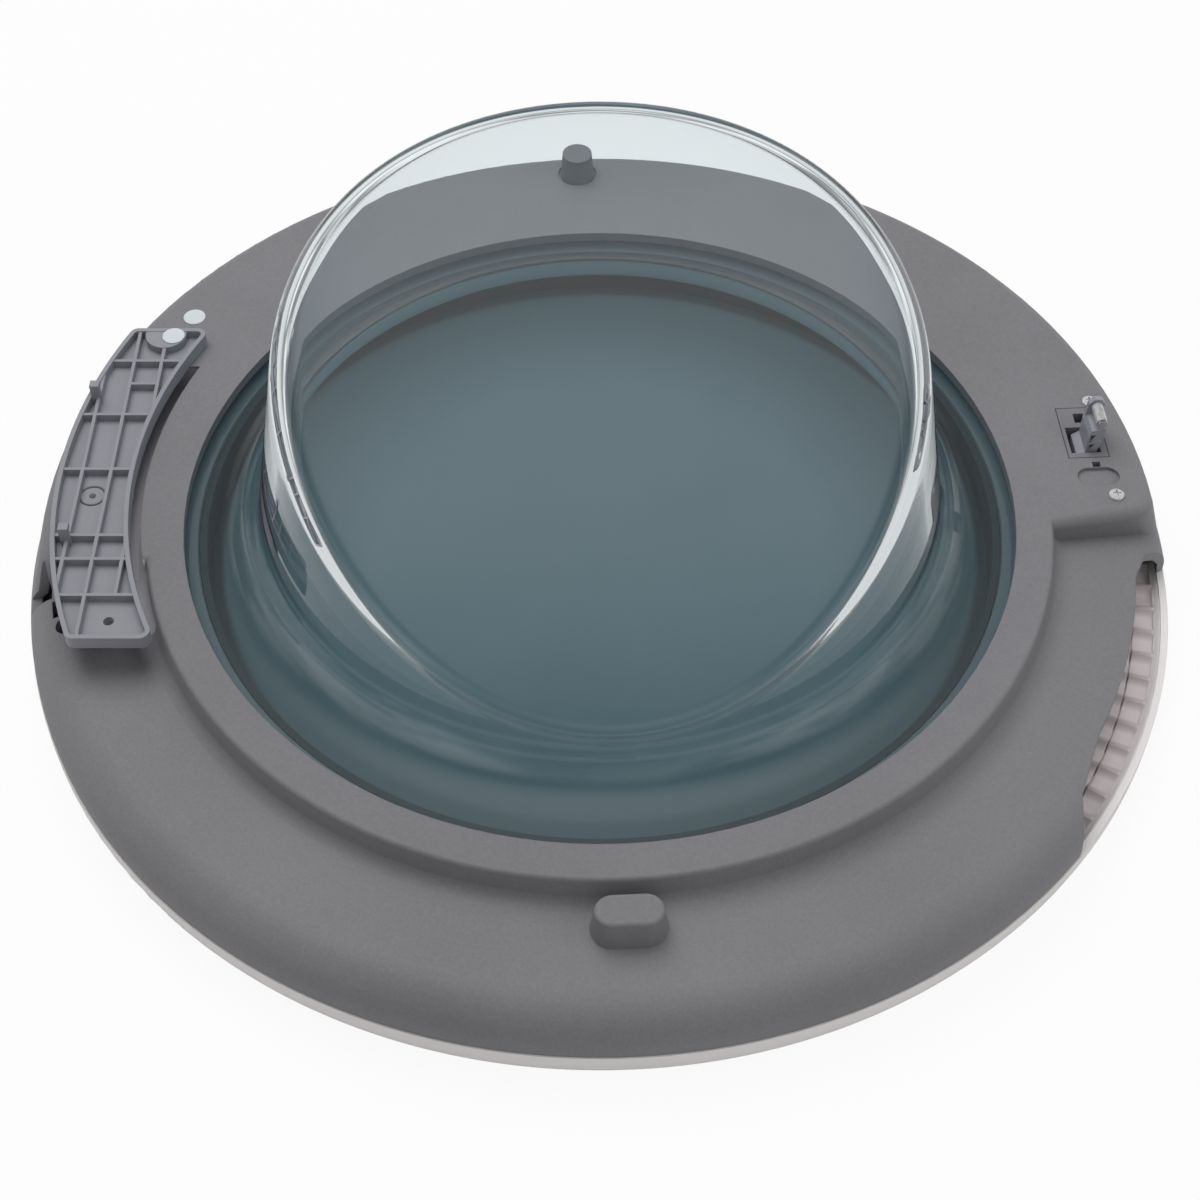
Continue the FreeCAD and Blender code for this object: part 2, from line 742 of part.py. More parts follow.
def make_latch_hook():
    """Plastic hook: bored foot, body with two triangular pockets, one cheek for the roller pin."""
    px, pz = from_ring("pivot"), size("pivot_height")
    half = size("hook_width") * 0.5
    near = size("latch_y") - size("hook_thick") * 0.5
    foot_long = size("hook_thick") - 3.6
    rx, rz = from_ring("roller"), size("roller_height")
    neck = pz + size("hook_rise")
    waist = px - half + 3.2
    body = new_body("hook_body")
    sketch = polygon(sketch_on(body, "hook_outline", "XZ_Plane"), [
        (px - half, pz), (px - half, neck - 3), (waist, neck - 1), (waist, neck + 8),
        (waist + 0.8, neck + 11.4),
        (rx - 1.5, rz - 4.2), (rx + 2.6, rz - 4.2), (rx + 2.4, neck + 7.5),
        (px + half, neck + 1), (px + half, pz)])
    pad = body.newObject("PartDesign::Pad", "hook_pad")
    pad.Profile = sketch
    pad.Reversed = True
    bind(pad, Length=size("hook_thick"))
    place(body, 0, near, 0)
    foot = cylinder("hook_foot", as_size(5.6), foot_long, px, near, pz, ALONG_Y)
    boss = cylinder("hook_boss", as_size(2.8), as_size(1), waist + 3, near - 0.6, neck + 4, ALONG_Y)

    cheek_body = new_body("cheek_body")
    sketch = polygon(sketch_on(cheek_body, "cheek_outline", "XZ_Plane"), [
        (rx - 3.8, rz - 5), (rx - 3.4, rz + 1.2), (rx - 1.2, rz + 3.6),
        (rx + 1.6, rz + 3.4), (rx + 3.4, rz + 1), (rx + 2.6, rz - 5)])
    pad = cheek_body.newObject("PartDesign::Pad", "cheek_pad")
    pad.Profile = sketch
    pad.Reversed = True
    bind(pad, Length=as_size(2.4))
    place(cheek_body, 0, near + size("hook_thick") - 2.4, 0)
    solid = fuse("hook_solid", [body, foot, boss, cheek_body])

    tools = [cylinder("hook_bore", size("pin_radius") + size("fit_gap"), as_size(40),
                      px, near - 5, pz, ALONG_Y),
             cylinder("cheek_bore", size("roller_pin_radius"), as_size(30), rx, near, rz, ALONG_Y)]
    tools.append(cylinder("spring_room", as_size(6.2), as_size(6), px, near + foot_long, pz, ALONG_Y))
    tools.append(box("spring_groove", as_size(6), as_size(1.7), as_size(23.5),
                     (px + size("pin_radius") + 0.2, near + foot_long - 0.1, pz)))
    for i, rise in enumerate((0.5, 5.2)):
        pocket = new_body("hook_pocket_%d" % i)
        sketch = polygon(sketch_on(pocket, "pocket_outline_%d" % i, "XZ_Plane"), [
            (waist + 0.8, neck + rise), (waist + 0.8, neck + rise + 3.8),
            (waist + 3, neck + rise + 3.8)])
        pad = pocket.newObject("PartDesign::Pad", "pocket_pad_%d" % i)
        pad.Profile = sketch
        pad.Reversed = True
        bind(pad, Length=as_size(8))
        place(pocket, 0, near - 1, 0)
        tools.append(pocket)
    return cut("latch_hook", solid, tools)


def make_latch_small_parts():
    """Pivot pin, roller, roller pin and the torsion spring on the pivot."""
    px, pz = from_ring("pivot"), size("pivot_height")
    near = size("latch_y") - size("hook_thick") * 0.5
    pin = cylinder("latch_pivot_pin", size("pin_radius"), as_size(22),
                   px, size("latch_y") - 11, pz, ALONG_Y)

    rx, rz = from_ring("roller"), size("roller_height")
    tube = cylinder("roller_tube", size("roller_radius"), size("roller_length"), rx, near, rz, ALONG_Y)
    bore = cylinder("roller_bore", size("roller_pin_radius") + size("fit_gap"), as_size(30),
                    rx, near - 5, rz, ALONG_Y)
    roller = cut("latch_roller", tube, [bore])

    shank = cylinder("roller_shank", size("roller_pin_radius"), size("hook_thick") + 0.3,
                     rx, near - 0.3, rz, ALONG_Y)
    head = cylinder("roller_head", size("roller_pin_radius") + 0.5, as_size(0.6),
                    rx, near - 0.9, rz, ALONG_Y)
    roller_pin = fuse("latch_roller_pin", [shank, head])

    wire = size("wire_radius")
    coil_radius = size("pin_radius") + wire + 0.4
    coils = []
    for i in range(3):
        coil = doc.addObject("Part::Torus", "spring_coil_%d" % i)
        bind(coil, Radius1=coil_radius, Radius2=wire)
        place(coil, px, near + size("hook_thick") - 2.9 + wire * (1.7 * i), pz, ALONG_Y)
        coils.append(coil)
    y = near + size("hook_thick") - 2.9
    leg = wire * 0.9
    upright = cylinder("spring_leg", leg, as_size(22), px + coil_radius + 0.12, y, pz - 0.5)
    finger = cylinder("spring_finger", leg * 0.95, as_size(6), px + coil_radius - 0.1, y, pz + 21.2,
                      FreeCAD.Rotation(V(0, 1, 0), 90))
    tail = cylinder("spring_tail", leg, as_size(5), px - coil_radius - 0.12, y + wire * 3.4, pz - 4.5)
    spring = fuse("latch_spring", coils + [upright, finger, tail])
    return [pin, roller, roller_pin, spring]


def pan_screw(name, x, y, seat_z, length):
    """Pan head screw with a cross recess, its head resting at seat_z."""
    head_radius = size("screw_head_radius")
    head = cylinder(name + "_head", head_radius, as_size(1.0), x, y, seat_z)
    crown = cone(name + "_crown", head_radius, head_radius - 1.2, as_size(0.9), x, y, seat_z + 1.0)
    shank = cylinder(name + "_shank", size("screw_radius"), length, x, y, seat_z - length)
    solid = fuse(name + "_solid", [head, crown, shank])
    slots = [box(name + "_slot_x", as_size(3.2), as_size(0.8), as_size(2), (x - 1.6, y - 0.4, seat_z + 0.8)),
             box(name + "_slot_y", as_size(0.8), as_size(3.2), as_size(2), (x - 0.4, y - 1.6, seat_z + 0.8))]
    return cut(name, solid, slots)


def group(name, shapes):
    obj = doc.addObject("Part::Compound", name)
    obj.Links = shapes
    return obj


def make_screws():
    """Latch screws, the screw beside the hinge and the countersunk screws of the hinge plate."""
    latch = [pan_screw("latch_screw_%d" % i, x, y, top, as_size(11))
             for i, (x, y) in enumerate(screw_points())]
    x, y = polar(from_ring("side_screw"), sheet.get("side_screw_angle"))
    side = pan_screw("side_screw", x, y, wall + 25.2, as_size(12))
    plate = []
    radius = size("screw_radius")
    for i, (x, y) in enumerate(hinge_points(1.6)):
        head = cone("plate_head_%d" % i, radius, radius * 2, radius, x, y, hinge_floor - radius - seat)
        shank = cylinder("plate_shank_%d" % i, radius, as_size(8), x, y, hinge_floor - radius - 8)
        plate.append(fuse("plate_screw_%d" % i, [head, shank]))
    return [group("latch_screws", latch), group("frame_screw", [side]),
            group("hinge_plate_screws", plate)]


def make_hinge_plate():
    """Steel plate under the recess floor with two threaded holes for the hinge."""
    under = hinge_floor - skin - seat
    thick = as_size(3)
    low_y = size("hinge_middle_y") - size("hinge_hole_spacing") * 0.86
    plate = box("hinge_plate_blank", as_size(18), size("hinge_hole_spacing") * 1.72, thick,
                (from_ring("hinge") * -1 - 9, low_y, under - thick))
    holes = [cylinder("hinge_thread_%d" % i, size("hinge_hole_radius"), as_size(20),
                      x, y, under - 10) for i, (x, y) in enumerate(hinge_points())]
    holes += [cylinder("plate_thread_%d" % i, size("screw_radius") + 0.02, as_size(20),
                       x, y, under - 10) for i, (x, y) in enumerate(hinge_points(1.6))]
    return cut("hinge_plate", plate, holes)


def cover_sector(name, inset, low):
    """Curved cover outline with rounded corners, drawn in by an inset, upwards from low."""
    inner = from_ring("cover") - size("cover_width") + inset
    outer = from_ring("cover") - inset
    tall = as_size(20)
    ring = cut(name + "_ring", cylinder(name + "_outer", outer, tall, 0, 0, low),
               [cylinder(name + "_inner", inner, tall * 2, 0, 0, low - 5)])
    clip = box(name + "_clip", as_size(120), size("cover_high_y") - size("cover_low_y") - inset * 2,
               tall, (-(outer + 5), size("cover_low_y") + inset, low))
    sector = common(name + "_sector", [ring, clip])
    doc.recompute()
    rounded = doc.addObject("Part::Fillet", name)
    rounded.Base = sector
    radius = 4 - inset.value
    numbers = []
    for number, edge in enumerate(sector.Shape.Edges, start=1):
        box_of = edge.BoundBox
        if box_of.ZLength > 10 and box_of.XLength < 0.01 and box_of.YLength < 0.01:
            numbers.append((number, radius, radius))
    rounded.Edges = numbers
    return rounded


def make_hinge_cover():
    """Loose cover, upside down: skin, rim wall, rib grid, snap hooks and end pad."""
    low = top + seat
    skin = size("cover_skin")
    height = size("cover_height")
    rib = size("rib_thick")
    deep_ribs = height - skin - 0.4
    slab = box("cover_slab", as_size(200), as_size(300), height, (-260, -150, low))
    shell = common("cover_block", [cover_sector("cover_outside", as_size(0), low), slab])
    hollow = cover_sector("cover_inside", skin, low + skin)
    tray = cut("cover_tray", shell, [hollow])

    middle = -(from_ring("cover") - size("cover_width") + from_ring("cover")) * 0.5
    span = size("cover_high_y") - size("cover_low_y")
    ribs = []
    for i, start in ((-1, 0), (0, 0), (1, 0.124)):
        x = middle + 5.3 + size("rib_pitch") * i
        ribs.append(box("long_rib_%d" % (i + 1), rib, span, deep_ribs,
                        (x, size("cover_low_y") + span * start, low + skin)))
    for i, share in enumerate((0.124, 0.231, 0.303, 0.512, 0.694, 0.881)):
        y = size("cover_low_y") + span * share
        ribs.append(box("cross_rib_%d" % i, as_size(120), rib, deep_ribs, (-260, y, low + skin)))
    for i, (share, shift) in enumerate(((0.753, -18), (0.80, 6))):
        y = size("cover_low_y") + span * share
        ribs.append(box("short_rib_%d" % i, size("rib_pitch"), rib, deep_ribs,
                        (middle + shift, y, low + skin)))
    ribs.append(cylinder("end_pad", as_size(9), deep_ribs + 0.2, middle + 17.6,
                         size("cover_high_y") - 3.5, low + skin))
    grid = common("cover_ribs", [fuse("cover_rib_set", ribs), hollow])

    hooks = []
    for i, (x, share) in enumerate(((middle - 9, 0.755), (middle - 8.5, 0.29))):
        y = size("cover_low_y") + span * share
        stem = box("snap_stem_%d" % i, as_size(4), as_size(2.2), height + 4.5, (x, y, low + skin * 0.5))
        nose = box("snap_nose_%d" % i, as_size(4), as_size(3.8), as_size(2), (x, y, low + height + 4))
        hooks += [stem, nose]
    solid = fuse("cover_solid", [tray, grid] + hooks)
    hole = cylinder("cover_screw_hole", as_size(2.1), as_size(30), middle + 16.6,
                    size("cover_low_y") + 12, low - 5)
    cover = cut("hinge_cover", solid, [hole])
    turn = FreeCAD.Rotation(V(0, 0, 1), sheet.get("cover_turn"))
    return place(cover, 0.4, size("cover_shift"), 0, turn)


nodes = [make_front_ring(), make_front_window(), make_gasket(), make_glass_bowl(),
         make_inner_frame(), make_round_buffer(), make_latch_housing(), make_latch_hook()]
nodes += make_latch_small_parts()
nodes += make_screws()
nodes += [make_hinge_plate(), make_hinge_cover()]
doc.recompute()

for obj in doc.Objects:
    if "Invalid" in obj.State or "Error" in obj.State:
        raise RuntimeError("%s is %s" % (obj.Name, obj.State))

os.makedirs("parts", exist_ok=True)
for node in nodes:
    node.Label = node.Name
    if node.Shape.isNull() or not node.Shape.isValid():
        raise RuntimeError("%s has no valid shape" % node.Name)
    node.Shape.exportStep("parts/%s.step" % node.Name)
    limits = node.Shape.BoundBox
    print(node.Name, len(node.Shape.Solids), round(node.Shape.Volume / 1000, 1),
          [round(v, 1) for v in (limits.XMin, limits.XMax, limits.YMin, limits.YMax,
                                 limits.ZMin, limits.ZMax)])
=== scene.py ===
import math

import bpy
import numpy as np
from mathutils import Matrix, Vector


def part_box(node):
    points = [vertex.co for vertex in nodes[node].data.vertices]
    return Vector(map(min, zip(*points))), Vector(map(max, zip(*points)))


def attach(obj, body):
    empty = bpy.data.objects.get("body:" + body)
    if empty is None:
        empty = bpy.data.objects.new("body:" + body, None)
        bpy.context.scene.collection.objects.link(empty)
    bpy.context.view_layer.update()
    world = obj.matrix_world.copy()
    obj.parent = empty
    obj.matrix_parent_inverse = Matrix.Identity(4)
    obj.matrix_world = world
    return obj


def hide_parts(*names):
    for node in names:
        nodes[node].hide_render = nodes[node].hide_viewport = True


# Looks of the round washing machine door: finishes for its CAD nodes, a smooth skin for the pressed
# glass bowl, a coiled latch spring, two bare paper dots and the moulded mark on the hinge cover.
# Metres in the door's own frame: its front lies at height 0 and its hinge side points to -x.

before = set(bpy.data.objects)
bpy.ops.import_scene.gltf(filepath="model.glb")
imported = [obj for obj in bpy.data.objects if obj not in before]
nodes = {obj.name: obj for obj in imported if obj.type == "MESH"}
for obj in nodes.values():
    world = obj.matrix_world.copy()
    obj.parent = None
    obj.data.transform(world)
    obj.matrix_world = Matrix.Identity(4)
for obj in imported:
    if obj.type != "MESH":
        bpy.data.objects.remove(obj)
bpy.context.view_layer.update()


# Node helpers

def new_node(tree, kind, attributes=None, **inputs):
    """Adds a shader node; inputs are given by socket name with spaces as underscores."""
    node = tree.nodes.new(kind)
    for name, value in (attributes or {}).items():
        setattr(node, name, value)
    for name, value in inputs.items():
        connect(tree, value, node.inputs[name.replace("_", " ")])
    return node


def connect(tree, value, socket):
    """Links a socket to a socket, or writes a plain value on it."""
    if isinstance(value, bpy.types.NodeSocket):
        tree.links.new(value, socket)
    else:
        socket.default_value = value


def calculate(tree, operation, first, second=0.0, clamp=False):
    """One step of arithmetic on one or two values."""
    node = tree.nodes.new("ShaderNodeMath")
    node.operation = operation
    node.use_clamp = clamp
    connect(tree, first, node.inputs[0])
    connect(tree, second, node.inputs[1])
    return node.outputs[0]


def blend_colours(tree, share, first, second, kind="MIX"):
    """The first colour, blended with the second by a share from 0 to 1."""
    node = tree.nodes.new("ShaderNodeMix")
    node.data_type = "RGBA"
    node.blend_type = kind
    connect(tree, share, node.inputs[0])
    connect(tree, first, node.inputs[6])
    connect(tree, second, node.inputs[7])
    return node.outputs[2]


def remap(tree, value, low, high, to_low=0.0, to_high=1.0):
    """Straight line from (low, to_low) to (high, to_high), level outside them."""
    node = new_node(tree, "ShaderNodeMapRange", {"clamp": True}, Value=value)
    limits = {"From Min": low, "From Max": high, "To Min": to_low, "To Max": to_high}
    for name, number in limits.items():
        connect(tree, number, node.inputs[name])
    return node.outputs[0]


def past(tree, value, edge, soft):
    """0 up to the edge, then rising to 1 over a soft stretch."""
    return remap(tree, value, edge, edge + soft)


def short_of(tree, value, edge, soft):
    """1 up to the edge, then falling to 0 over a soft stretch."""
    return remap(tree, value, edge, edge + soft, 1.0, 0.0)


def product(tree, *factors):
    """All the factors multiplied together."""
    result = factors[0]
    for factor in factors[1:]:
        result = calculate(tree, "MULTIPLY", result, factor)
    return result


def mix_shaders(tree, share, first, second):
    """The first shader, mixed with the second by a share from 0 to 1."""
    mix = tree.nodes.new("ShaderNodeMixShader")
    for value, socket in zip((share, first, second), mix.inputs):
        tree.links.new(value, socket)
    return mix.outputs[0]


def seen_by_eye(tree, path):
    """1 for what the camera sees, straight or through glass."""
    return calculate(tree, "MAXIMUM", path["Is Camera Ray"], path["Is Transmission Ray"])


def new_group(name, inputs, outputs):
    """A shader node group with named sockets; returns the tree, its given values and its results."""
    tree = bpy.data.node_groups.new(name, "ShaderNodeTree")
    for label, kind in inputs:
        tree.interface.new_socket(label, in_out="INPUT", socket_type="NodeSocket" + kind)
    for label, kind in outputs:
        tree.interface.new_socket(label, in_out="OUTPUT", socket_type="NodeSocket" + kind)
    entry = tree.nodes.new("NodeGroupInput")
    leave = tree.nodes.new("NodeGroupOutput")
    return tree, entry.outputs, leave.inputs


# Effects that several finishes share

NOISE_MIDDLE = 0.5
SPECK_SHARE = 0.9
DRIFT_SCALE = 9.0
RUB_TURN = 0.7
RUB_STRETCH = (60.0, 900.0, 300.0)
RUB_CREST = (0.66, 0.74)
RUB_PATCH = (0.55, 0.70)


def make_moulded_grain():
    """Fine eroded mould texture with slow tone and gloss drift over the surface."""
    tree, given, result = new_group(
        "moulded_grain",
        [("Coordinates", "Vector"), ("Colour", "Color"), ("Shade", "Float"),
         ("Grain Scale", "Float"), ("Roughness", "Float"), ("Gloss Drift", "Float")],
        [("Colour", "Color"), ("Roughness", "Float"), ("Height", "Float")])
    fine = new_node(tree, "ShaderNodeTexNoise", Vector=given["Coordinates"],
                    Scale=given["Grain Scale"], Detail=3.0, Roughness=0.6)
    slow = new_node(tree, "ShaderNodeTexNoise", Vector=given["Coordinates"],
                    Scale=DRIFT_SCALE, Detail=4.0, Roughness=0.55)
    speck = calculate(tree, "SUBTRACT", fine.outputs[0], NOISE_MIDDLE)
    drift = calculate(tree, "SUBTRACT", slow.outputs[0], NOISE_MIDDLE)
    tone = calculate(tree, "ADD", product(tree, speck, SPECK_SHARE), drift)
    tone = calculate(tree, "ADD", product(tree, tone, given["Shade"]), 1.0)
    grey = new_node(tree, "ShaderNodeCombineColor", Red=tone, Green=tone, Blue=tone)
    colour = blend_colours(tree, 1.0, given["Colour"], grey.outputs[0], "MULTIPLY")
    gloss = product(tree, drift, given["Gloss Drift"])
    rough = calculate(tree, "ADD", given["Roughness"], gloss, clamp=True)
    tree.links.new(colour, result["Colour"])
    tree.links.new(rough, result["Roughness"])
    tree.links.new(fine.outputs[0], result["Height"])
    return tree


def make_handling_marks():
    """Short faint rub lines: stretched noise cut to its thin crests, patchy over the surface."""
    tree, given, result = new_group(
        "handling_marks", [("Coordinates", "Vector"), ("Amount", "Float")], [("Mask", "Float")])
    turned = new_node(tree, "ShaderNodeMapping", Vector=given["Coordinates"],
                      Rotation=(0.0, 0.0, RUB_TURN), Scale=RUB_STRETCH)
    lines = new_node(tree, "ShaderNodeTexNoise", Vector=turned.outputs[0], Scale=1.0, Detail=1.0)
    patch = new_node(tree, "ShaderNodeTexNoise", Vector=given["Coordinates"], Scale=22.0, Detail=2.0)
    crest = remap(tree, lines.outputs[0], *RUB_CREST)
    where = remap(tree, patch.outputs[0], *RUB_PATCH)
    tree.links.new(product(tree, crest, where, given["Amount"]), result["Mask"])
    return tree


def make_door_polar():
    """Radius from the door's axis, angle round it in degrees, and height above its front."""
    tree, given, result = new_group(
        "door_polar", [("Coordinates", "Vector")],
        [("Radius", "Float"), ("Angle", "Float"), ("Height", "Float")])
    x, y, z = new_node(tree, "ShaderNodeSeparateXYZ", Vector=given["Coordinates"]).outputs
    squares = calculate(tree, "ADD", product(tree, x, x), product(tree, y, y))
    tree.links.new(calculate(tree, "SQRT", squares), result["Radius"])
    turn = calculate(tree, "ARCTAN2", y, x)
    tree.links.new(product(tree, turn, 180 / math.pi), result["Angle"])
    tree.links.new(z, result["Height"])
    return tree


moulded_grain = make_moulded_grain()
handling_marks = make_handling_marks()
door_polar = make_door_polar()


def new_material(name):
    """A material with its tree, its main shader and the Object coordinates of its piece."""
    material = bpy.data.materials.new(name)
    material.use_nodes = True
    tree = material.node_tree
    shader = tree.nodes["Principled BSDF"]
    place = tree.nodes.new("ShaderNodeTexCoord").outputs["Object"]
    return material, tree, shader, place


def use_group(tree, group, **inputs):
    """Places a shared effect in a material with its own values; returns its outputs."""
    node = tree.nodes.new("ShaderNodeGroup")
    node.node_tree = group
    for name, value in inputs.items():
        connect(tree, value, node.inputs[name.replace("_", " ")])
    return node.outputs


# Tinted places on the mouldings, painted shade and painted light among them; angles are in degrees

GRIP_MIDDLE, GRIP_HALF = -24.5, 20.3
GRIP_INNER, GRIP_OUTER, GRIP_FLOOR = 0.2030, 0.2335, 0.007
GRIP_TONE = (0.95, 0.865, 0.87, 1)
FLUTE_PITCH = 3.13
FLUTE_VALLEY, VALLEY_SHADE_SHARE = (-1.0, 0.3), (0.55, 0.0)
# painted shade: colour laid in the valleys between the grip's flutes
FLUTE_PAINTED_SHADE = (0.34, 0.29, 0.285, 1)
SEAT_RADIUS, SEAT_FLOOR = 0.1840, 0.020
SEAT_TONE = (0.04, 0.06, 0.068, 1)
RECESS_INNER, RECESS_OUTER = 0.1880, 0.2215
RECESS_LOW_Y, RECESS_HIGH_Y = -0.0560, 0.0895
RECESS_END_X, RECESS_TOP = -0.151, 0.0485
# painted light: paler colour that lifts the shade on the hinge recess floor
RECESS_PAINTED_LIGHT = (0.48, 0.47, 0.50, 1)
GRIP_END_FADE = 0.5
WIDE_FADE, FADE, RECESS_TOP_FADE, FINE_FADE = 0.002, 0.001, 0.0007, 0.0005


def tone_ring(tree, place, tone):
    """Greyer finger grip, painted shade between its flutes, and a dark seat where the glass lies."""
    radius, angle, height = use_group(tree, door_polar, Coordinates=place)
    off = calculate(tree, "SUBTRACT", angle, GRIP_MIDDLE)
    grip = product(tree, short_of(tree, calculate(tree, "ABSOLUTE", off), GRIP_HALF, GRIP_END_FADE),
                   short_of(tree, radius, GRIP_OUTER, WIDE_FADE),
                   past(tree, radius, GRIP_INNER, FADE),
                   past(tree, height, GRIP_FLOOR, WIDE_FADE))
    # painted shade: the grip darkens in the valleys between flutes, where shade falls
    wave = calculate(tree, "COSINE", product(tree, off, 2 * math.pi / FLUTE_PITCH))
    valley_shade = remap(tree, wave, *FLUTE_VALLEY, *VALLEY_SHADE_SHARE)
    tone = blend_colours(tree, grip, tone, GRIP_TONE)
    tone = blend_colours(tree, product(tree, grip, valley_shade), tone, FLUTE_PAINTED_SHADE)
    seat = product(tree, short_of(tree, radius, SEAT_RADIUS, FINE_FADE),
                   past(tree, height, SEAT_FLOOR, WIDE_FADE))
    return blend_colours(tree, seat, tone, SEAT_TONE)


def paint_recess_light(tree, place, tone):
    """Painted light: the floor of the hinge recess, which little light reaches under the loose cover, is
    made paler to lift its shade.
    """
    polar = use_group(tree, door_polar, Coordinates=place)
    parts = new_node(tree, "ShaderNodeSeparateXYZ", Vector=place).outputs
    recess = product(tree, past(tree, polar["Radius"], RECESS_INNER, FINE_FADE),
                     short_of(tree, polar["Radius"], RECESS_OUTER, FINE_FADE),
                     short_of(tree, parts["X"], RECESS_END_X, FADE),
                     past(tree, parts["Y"], RECESS_LOW_Y, FADE),
                     short_of(tree, parts["Y"], RECESS_HIGH_Y, FINE_FADE),
                     short_of(tree, polar["Height"], RECESS_TOP, RECESS_TOP_FADE))
    return blend_colours(tree, recess, tone, RECESS_PAINTED_LIGHT)


# Finishes; where two pairs stand on a line, a change runs over the first and gives the second

BEVEL_SAMPLES = 4
PALER_GAIN, PALER_LIFT = 1.5, 0.02
GLASS_TINT = (0.93, 0.965, 0.975, 1)
GLASS_LIGHT = (0.90, 0.94, 0.95, 1)
GLASS_BENDING = 1.5
PANE_CLEAN, PANE_DUSTY = (0.084, 0.136, 0.160, 1), (0.120, 0.176, 0.200, 1)
PANE_RUBBED = (0.19, 0.25, 0.27, 1)
# painted shade: pane colour towards its edge and on its skirt
PANE_EDGE_SHADE, PANE_SKIRT_SHADE = (0.038, 0.073, 0.086, 1), (0.018, 0.032, 0.038, 1)
EDGE_SHADE_SPAN, EDGE_SHADE_SHARE = (0.095, 0.150), (0.0, 0.85)
SKIRT_RADIUS, SKIRT_FADE = 0.157, 0.003
PANE_MARKS, PANE_GLOSS = 0.2, 0.25
DUST_NOISE, DUST_SHARE = (0.35, 0.75), (0.0, 0.35)
DULLING_DUST, DUST_ROUGH = (0.3, 0.8), (0.28, 0.5)
ZINC_BRIGHT, ZINC_DULL = (0.72, 0.72, 0.73, 1), (0.45, 0.44, 0.43, 1)
DRAW_STRETCH = (3000.0, 150.0, 3000.0)
DRAW_NOISE, DRAW_ROUGH = (0.3, 0.7), (0.16, 0.34)
SPOT_NOISE, SPOT_ROUGH = (0.55, 0.75), 0.2
PAPER_DARK, PAPER_LIGHT = (0.58, 0.61, 0.64, 1), (0.70, 0.73, 0.76, 1)
FIBRE_NOISE, FIBRE_ROUGH = (0.3, 0.7), (0.5, 0.7)


def moulded_plastic(name, colour, rough, shade=0.14, grain=1500.0, depth=0.00004, edge=0.0006,
                    marks=0.12, drift=0.25, toning=None):
    """Moulded plastic with eroded grain, softened edges and faint rub marks; toning tints places."""
    material, tree, shader, place = new_material(name)
    grains = use_group(tree, moulded_grain, Coordinates=place, Colour=(*colour, 1), Shade=shade,
                       Grain_Scale=grain, Roughness=rough, Gloss_Drift=drift)
    rubbed = use_group(tree, handling_marks, Coordinates=place, Amount=marks)
    paler = tuple(min(1.0, part * PALER_GAIN + PALER_LIFT) for part in colour)
    tone = blend_colours(tree, rubbed["Mask"], grains["Colour"], (*paler, 1))
    if toning:
        tone = toning(tree, place, tone)
    tree.links.new(tone, shader.inputs["Base Color"])
    tree.links.new(grains["Roughness"], shader.inputs["Roughness"])
    soft = new_node(tree, "ShaderNodeBevel", {"samples": BEVEL_SAMPLES}, Radius=edge)
    bump = new_node(tree, "ShaderNodeBump", Height=grains["Height"], Normal=soft.outputs[0],
                    Strength=0.5, Distance=depth)
    tree.links.new(bump.outputs[0], shader.inputs["Normal"])
    return material


def bowl_glass():
    """Clear pressed glass, faintly teal, that lets light through to the pane inside it.

    Light on its way to other pieces, and a ray that was mirrored once already, pass straight on.
    """
    material, tree, shader, place = new_material("pressed_glass")
    wave = new_node(tree, "ShaderNodeTexNoise", Vector=place, Scale=16.0, Detail=0.0)
    bump = new_node(tree, "ShaderNodeBump", Height=wave.outputs[0], Strength=0.1, Distance=0.0002)
    tree.links.new(bump.outputs[0], shader.inputs["Normal"])
    shader.inputs["Base Color"].default_value = GLASS_TINT
    shader.inputs["Roughness"].default_value = 0.0
    shader.inputs["IOR"].default_value = GLASS_BENDING
    shader.inputs["Transmission Weight"].default_value = 1.0
    clear = new_node(tree, "ShaderNodeBsdfTransparent", Color=GLASS_LIGHT)
    path = tree.nodes.new("ShaderNodeLightPath").outputs
    light = calculate(tree, "MAXIMUM", path["Is Shadow Ray"], path["Is Diffuse Ray"])
    mirrored = calculate(tree, "GREATER_THAN", path["Glossy Depth"], 0.5)
    straight_on = calculate(tree, "MAXIMUM", light, mirrored)
    mixed = mix_shaders(tree, straight_on, shader.outputs[0], clear.outputs[0])
    tree.links.new(mixed, tree.nodes["Material Output"].inputs[0])
    return material


def smoked_pane():
    """Dark teal pane with a little settled dust, darker towards its edge and on its skirt as painted
    shade.
    """
    material, tree, shader, place = new_material("smoked_pane")
    dust = new_node(tree, "ShaderNodeTexNoise", Vector=place, Scale=14.0, Detail=6.0, Roughness=0.6)
    share = remap(tree, dust.outputs[0], *DUST_NOISE, *DUST_SHARE)
    colour = blend_colours(tree, share, PANE_CLEAN, PANE_DUSTY)
    rubbed = use_group(tree, handling_marks, Coordinates=place, Amount=PANE_MARKS)
    colour = blend_colours(tree, rubbed["Mask"], colour, PANE_RUBBED)
    radius = use_group(tree, door_polar, Coordinates=place)["Radius"]
    # painted shade: darker towards the pane's edge and on its skirt, where the bowl and frame keep light
    # off
    colour = blend_colours(tree, remap(tree, radius, *EDGE_SHADE_SPAN, *EDGE_SHADE_SHARE), colour, PANE_EDGE_SHADE)
    colour = blend_colours(tree, past(tree, radius, SKIRT_RADIUS, SKIRT_FADE), colour, PANE_SKIRT_SHADE)
    tree.links.new(colour, shader.inputs["Base Color"])
    shader.inputs["Specular IOR Level"].default_value = PANE_GLOSS
    rough = remap(tree, dust.outputs[0], *DULLING_DUST, *DUST_ROUGH)
    tree.links.new(rough, shader.inputs["Roughness"])
    return material


